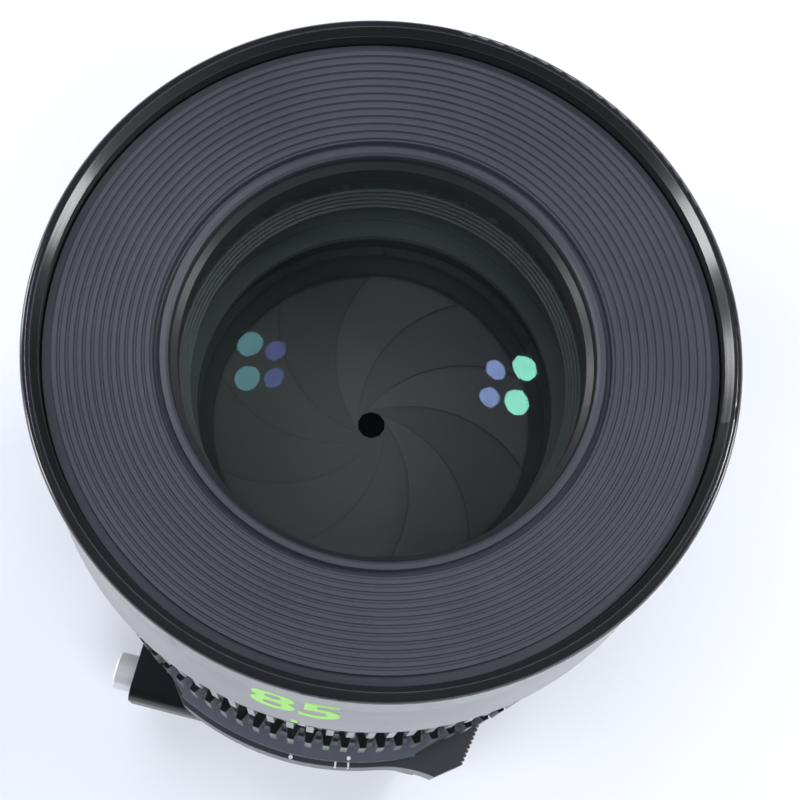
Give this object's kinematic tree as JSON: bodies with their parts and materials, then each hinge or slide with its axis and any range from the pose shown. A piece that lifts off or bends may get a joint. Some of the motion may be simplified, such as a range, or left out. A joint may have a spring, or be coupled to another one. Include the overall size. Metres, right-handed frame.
{
  "type": "cinema prime lens",
  "caption": "Manual cinema prime lens with geared focus and iris rings, ridged front baffle, working bladed iris, winged lock collar and a drop-in filter tray in its rear mount.",
  "frame": {"origin": "the optical axis at the rear flange face that seats on the camera", "axes": "+Z along the optical axis towards the front of the lens, -Y towards the index marks and the filter tray"},
  "size_m": [0.0818, 0.084, 0.101],
  "materials": {
    "black_anodised": "satin black anodised",
    "matte_black": "matte black anodised",
    "coated_glass": "polished, antireflection coated",
    "filter_glass": "polished",
    "blade_steel": "blackened spring steel",
    "brass": "machined",
    "bright_steel": "turned, bright",
    "screw_steel": "blackened"
  },
  "bodies": {
    "housing": {"front_barrel": "black_anodised", "front_baffle": "matte_black", "front_retaining_ring": "matte_black", "front_cell": "matte_black", "front_element": "coated_glass", "barrel_lock_ring": "matte_black", "front_cell_screws": "screw_steel", "main_barrel": "matte_black", "index_ring": "black_anodised", "grub_screws": "screw_steel", "iris_base_plate": "matte_black", "iris_retaining_ring": "matte_black", "rear_barrel": "black_anodised", "rear_cell": "matte_black", "rear_cell_nut": "matte_black", "rear_element_front": "coated_glass", "rear_element_middle": "coated_glass", "rear_element_rear": "coated_glass", "rear_spacers": "matte_black", "rear_retaining_ring": "matte_black", "lens_flange": "bright_steel", "lens_flange_screws": "screw_steel", "mount_housing": "black_anodised", "bayonet_mount": "bright_steel", "bayonet_screws": "screw_steel", "light_mask": "matte_black"},
    "focus_ring": {"focus_ring": "black_anodised", "focus_gear": "black_anodised", "focus_cover_ring": "black_anodised", "focus_cam_ring": "brass"},
    "focus_cell": {"focus_cell": "matte_black", "focus_element_front": "coated_glass", "focus_element_rear": "coated_glass", "focus_cell_ring": "matte_black", "focus_rollers": "brass"},
    "iris_ring": {"iris_ring": "black_anodised", "iris_gear": "black_anodised", "iris_drive_ring": "matte_black", "iris_drive_pin": "bright_steel"},
    "lock_collar": {"lock_collar": "black_anodised", "collar_keeper": "black_anodised", "collar_screws": "screw_steel"},
    "filter_tray": {"filter_tray": "black_anodised", "tray_filter": "filter_glass", "tray_filter_ring": "matte_black", "tray_handle": "black_anodised", "tray_screws": "screw_steel", "release_spring": "bright_steel"},
    "release_button": {"release_button": "bright_steel"},
    "iris_blade_01": {"iris_blade_01": "blade_steel"},
    "iris_blade_02": {"iris_blade_02": "blade_steel"},
    "iris_blade_03": {"iris_blade_03": "blade_steel"},
    "iris_blade_04": {"iris_blade_04": "blade_steel"},
    "iris_blade_05": {"iris_blade_05": "blade_steel"},
    "iris_blade_06": {"iris_blade_06": "blade_steel"},
    "iris_blade_07": {"iris_blade_07": "blade_steel"},
    "iris_blade_08": {"iris_blade_08": "blade_steel"},
    "iris_blade_09": {"iris_blade_09": "blade_steel"},
    "iris_blade_10": {"iris_blade_10": "blade_steel"}
  },
  "joints": [
    {"name": "focus_turn", "type": "hinge", "parent": "housing", "child": "focus_ring", "pos_m": [0, 0, 0.06], "axis": [0, 0, 1], "range_deg": [0, 270]},
    {"name": "focus_travel", "type": "slide", "parent": "housing", "child": "focus_cell", "axis": [0, 0, 1], "range_m": [0, 0.0075]},
    {"name": "iris_turn", "type": "hinge", "parent": "housing", "child": "iris_ring", "pos_m": [0, 0, 0.04], "axis": [0, 0, 1], "range_deg": [0, 54]},
    {"name": "lock_turn", "type": "hinge", "parent": "housing", "child": "lock_collar", "pos_m": [0, 0, 0.017], "axis": [0, 0, 1], "range_deg": [0, 45]},
    {"name": "tray_slide", "type": "slide", "parent": "housing", "child": "filter_tray", "axis": [0, -1, 0], "range_m": [0, 0.06]},
    {"name": "button_press", "type": "slide", "parent": "filter_tray", "child": "release_button", "axis": [1, 0, 0], "range_m": [0, 0.0016], "stiffness_N_per_m": 400, "springref_m": -0.001},
    {"name": "blade_01", "type": "hinge", "parent": "housing", "child": "iris_blade_01", "pos_m": [0, -0.0282, 0.0615], "axis": [0, 0, 1], "range_deg": [-31.39, 0]},
    {"name": "blade_02", "type": "hinge", "parent": "housing", "child": "iris_blade_02", "pos_m": [0.01658, -0.02281, 0.0615], "axis": [0, 0, 1], "range_deg": [-31.39, 0]},
    {"name": "blade_03", "type": "hinge", "parent": "housing", "child": "iris_blade_03", "pos_m": [0.02682, -0.00871, 0.0615], "axis": [0, 0, 1], "range_deg": [-31.39, 0]},
    {"name": "blade_04", "type": "hinge", "parent": "housing", "child": "iris_blade_04", "pos_m": [0.02682, 0.00871, 0.0615], "axis": [0, 0, 1], "range_deg": [-31.39, 0]},
    {"name": "blade_05", "type": "hinge", "parent": "housing", "child": "iris_blade_05", "pos_m": [0.01658, 0.02281, 0.0615], "axis": [0, 0, 1], "range_deg": [-31.39, 0]},
    {"name": "blade_06", "type": "hinge", "parent": "housing", "child": "iris_blade_06", "pos_m": [0, 0.0282, 0.0615], "axis": [0, 0, 1], "range_deg": [-31.39, 0]},
    {"name": "blade_07", "type": "hinge", "parent": "housing", "child": "iris_blade_07", "pos_m": [-0.01658, 0.02281, 0.0615], "axis": [0, 0, 1], "range_deg": [-31.39, 0]},
    {"name": "blade_08", "type": "hinge", "parent": "housing", "child": "iris_blade_08", "pos_m": [-0.02682, 0.00871, 0.0615], "axis": [0, 0, 1], "range_deg": [-31.39, 0]},
    {"name": "blade_09", "type": "hinge", "parent": "housing", "child": "iris_blade_09", "pos_m": [-0.02682, -0.00871, 0.0615], "axis": [0, 0, 1], "range_deg": [-31.39, 0]},
    {"name": "blade_10", "type": "hinge", "parent": "housing", "child": "iris_blade_10", "pos_m": [-0.01658, -0.02281, 0.0615], "axis": [0, 0, 1], "range_deg": [-31.39, 0]}
  ],
  "couplings": [
    {"joint": "focus_travel", "follows": "focus_turn", "m_per_rad": 0.0015915},
    {"joint": "blade_01", "follows": "iris_turn", "ratio": -0.58102},
    {"joint": "blade_02", "follows": "iris_turn", "ratio": -0.58102},
    {"joint": "blade_03", "follows": "iris_turn", "ratio": -0.58102},
    {"joint": "blade_04", "follows": "iris_turn", "ratio": -0.58102},
    {"joint": "blade_05", "follows": "iris_turn", "ratio": -0.58102},
    {"joint": "blade_06", "follows": "iris_turn", "ratio": -0.58102},
    {"joint": "blade_07", "follows": "iris_turn", "ratio": -0.58102},
    {"joint": "blade_08", "follows": "iris_turn", "ratio": -0.58102},
    {"joint": "blade_09", "follows": "iris_turn", "ratio": -0.58102},
    {"joint": "blade_10", "follows": "iris_turn", "ratio": -0.58102}
  ]
}
